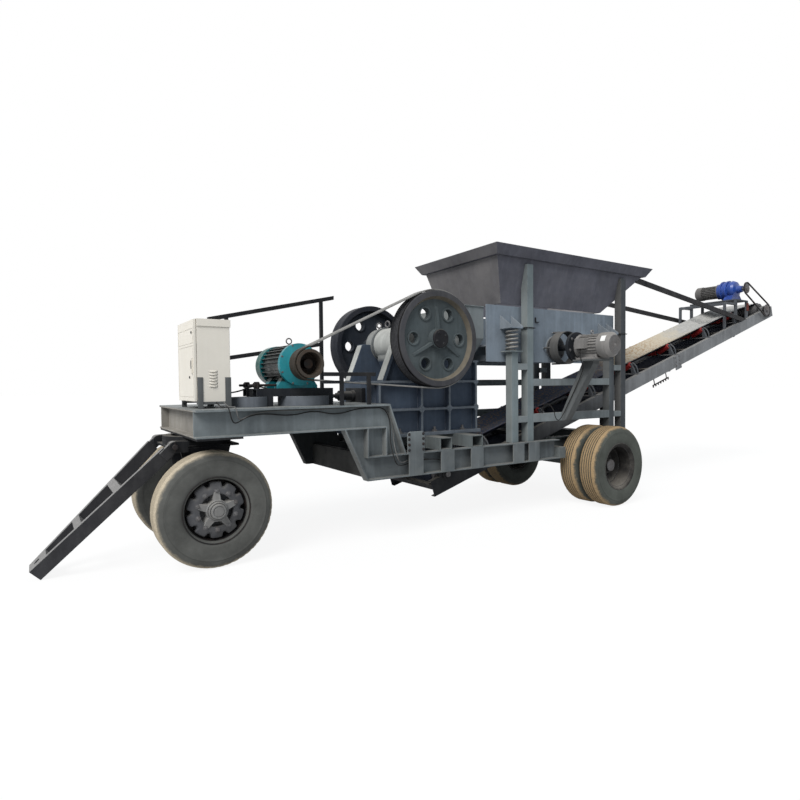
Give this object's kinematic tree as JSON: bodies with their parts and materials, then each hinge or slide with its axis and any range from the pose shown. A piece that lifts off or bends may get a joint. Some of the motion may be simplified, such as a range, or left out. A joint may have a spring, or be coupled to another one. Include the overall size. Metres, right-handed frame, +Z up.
{
  "type": "wheeled jaw crusher plant",
  "caption": "Towable jaw crusher plant: steered dolly, gooseneck frame, flywheel crusher with belt drive, vibrating feeder under a hopper, and a long discharge conveyor.",
  "frame": {"origin": "centre of the whole machine's plan, on the ground", "axes": "+X along the machine towards the conveyor head, +Y to the side away from the feeder motor, +Z up"},
  "size_m": [12.8436, 2.85, 3.665],
  "materials": {
    "frame_paint": "satin, dusty",
    "crusher_paint": "satin, dusty",
    "barrel_grey": "satin",
    "flywheel_iron": "painted, worn",
    "steel": "worn",
    "spring_steel": "dusty",
    "motor_teal": "gloss",
    "pulley_rust": "rusty",
    "belt_rubber": "dusty",
    "cabinet_beige": "matt",
    "tyre": "dusty",
    "wheel_paint": "matt",
    "motor_grey": "satin",
    "reducer_blue": "gloss",
    "roller_red": "satin"
  },
  "bodies": {
    "chassis": {"side_frame_near": "frame_paint", "side_frame_far": "frame_paint", "cross_members": "frame_paint", "deck_plate": "frame_paint", "rear_subframe": "frame_paint", "crusher_bearers": "frame_paint", "crusher_wall_near": "crusher_paint", "crusher_wall_far": "crusher_paint", "crusher_end_walls": "crusher_paint", "swing_jaw": "barrel_grey", "toggle_adjuster": "crusher_paint", "main_motor": "motor_teal", "motor_slide_base": "frame_paint", "deck_drums": "barrel_grey", "v_belts": "belt_rubber", "cabinet_body": "cabinet_beige", "cabinet_posts": "frame_paint", "guard_rails": "frame_paint", "turntable": "frame_paint", "rear_axle": "frame_paint", "hopper_shell": "frame_paint", "hopper_rim": "frame_paint", "hopper_posts": "frame_paint", "spring_posts": "frame_paint", "support_rails": "frame_paint", "feeder_springs": "spring_steel", "feeder_motor": "motor_grey", "feeder_motor_stand": "frame_paint", "chute": "frame_paint", "conveyor_stringers": "frame_paint", "conveyor_ties": "frame_paint", "conveyor_belt": "belt_rubber", "idler_rolls": "roller_red", "idler_frames": "frame_paint", "drive_platform": "frame_paint", "drive_motor": "motor_grey", "drive_reducer": "reducer_blue", "drive_chain": "steel", "conveyor_struts": "frame_paint"},
    "dolly": {"dolly_frame": "frame_paint"},
    "drawbar_body": {"drawbar": "frame_paint"},
    "front_wheel_near_body": {"front_tyre_near": "tyre", "front_wheel_near": "wheel_paint"},
    "front_wheel_far_body": {"front_tyre_far": "tyre", "front_wheel_far": "wheel_paint"},
    "rear_wheel_near_body": {"rear_tyres_near": "tyre", "rear_wheel_near": "wheel_paint"},
    "rear_wheel_far_body": {"rear_tyres_far": "tyre", "rear_wheel_far": "wheel_paint"},
    "crusher_rotor": {"eccentric_shaft": "steel", "flywheel_near": "flywheel_iron", "flywheel_far": "flywheel_iron"},
    "motor_rotor": {"motor_pulley": "pulley_rust"},
    "feeder": {"feeder_tray": "frame_paint"},
    "exciter": {"exciter_coupling": "steel"},
    "head_rotor": {"head_drum": "steel"},
    "tail_rotor": {"tail_drum": "steel"},
    "gear_output": {"drive_sprocket": "steel"},
    "door": {"cabinet_door": "cabinet_beige"}
  },
  "joints": [
    {"name": "steer", "type": "hinge", "parent": "chassis", "child": "dolly", "pos_m": [-4.95799, 0.165, 1.13], "axis": [0, 0, 1], "range_deg": [-40, 40]},
    {"name": "drawbar_lift", "type": "hinge", "parent": "dolly", "child": "drawbar_body", "pos_m": [-5.26799, 0.165, 1.13], "axis": [0, 1, 0], "range_deg": [0, 40]},
    {"name": "front_wheel_near_roll", "type": "hinge", "parent": "dolly", "child": "front_wheel_near_body", "pos_m": [-4.95799, -0.42, 0.5425], "axis": [0, 1, 0], "continuous": true},
    {"name": "front_wheel_far_roll", "type": "hinge", "parent": "dolly", "child": "front_wheel_far_body", "pos_m": [-4.95799, 0.75, 0.5425], "axis": [0, 1, 0], "continuous": true},
    {"name": "rear_wheel_near_roll", "type": "hinge", "parent": "chassis", "child": "rear_wheel_near_body", "pos_m": [0.28201, -0.95, 0.5425], "axis": [0, 1, 0], "continuous": true},
    {"name": "rear_wheel_far_roll", "type": "hinge", "parent": "chassis", "child": "rear_wheel_far_body", "pos_m": [0.28201, 1.28, 0.5425], "axis": [0, 1, 0], "continuous": true},
    {"name": "crusher_turn", "type": "hinge", "parent": "chassis", "child": "crusher_rotor", "pos_m": [-2.46799, 0.165, 2.205], "axis": [0, 1, 0], "continuous": true},
    {"name": "motor_turn", "type": "hinge", "parent": "chassis", "child": "motor_rotor", "pos_m": [-4.05299, -0.535, 1.905], "axis": [0, 1, 0], "continuous": true},
    {"name": "feeder_shake", "type": "slide", "parent": "chassis", "child": "feeder", "axis": [0, 0, 1], "range_m": [-0.008, 0.008], "stiffness_N_per_m": 4000000, "springref_m": 0.00368, "deforming": ["feeder_springs"]},
    {"name": "exciter_turn", "type": "hinge", "parent": "feeder", "child": "exciter", "pos_m": [-0.30799, -0.635, 2.16], "axis": [0, 1, 0], "continuous": true},
    {"name": "head_drum_turn", "type": "hinge", "parent": "chassis", "child": "head_rotor", "pos_m": [6.04813, 0.165, 3.10678], "axis": [0, 1, 0], "continuous": true},
    {"name": "tail_drum_turn", "type": "hinge", "parent": "chassis", "child": "tail_rotor", "pos_m": [-2.09731, 0.165, 0.57444], "axis": [0, 1, 0], "continuous": true},
    {"name": "gear_output_turn", "type": "hinge", "parent": "chassis", "child": "gear_output", "pos_m": [5.24201, -0.375, 3.475], "axis": [0, 1, 0], "continuous": true},
    {"name": "cabinet_door_swing", "type": "hinge", "parent": "chassis", "child": "door", "pos_m": [-5.09399, 0.27, 1.9], "axis": [0, 0, -1], "range_deg": [0, 105]}
  ],
  "couplings": [
    {"joint": "motor_turn", "follows": "crusher_turn", "ratio": 3.7931},
    {"joint": "gear_output_turn", "follows": "head_drum_turn", "ratio": 1.2105},
    {"joint": "tail_drum_turn", "follows": "head_drum_turn", "ratio": 1}
  ]
}
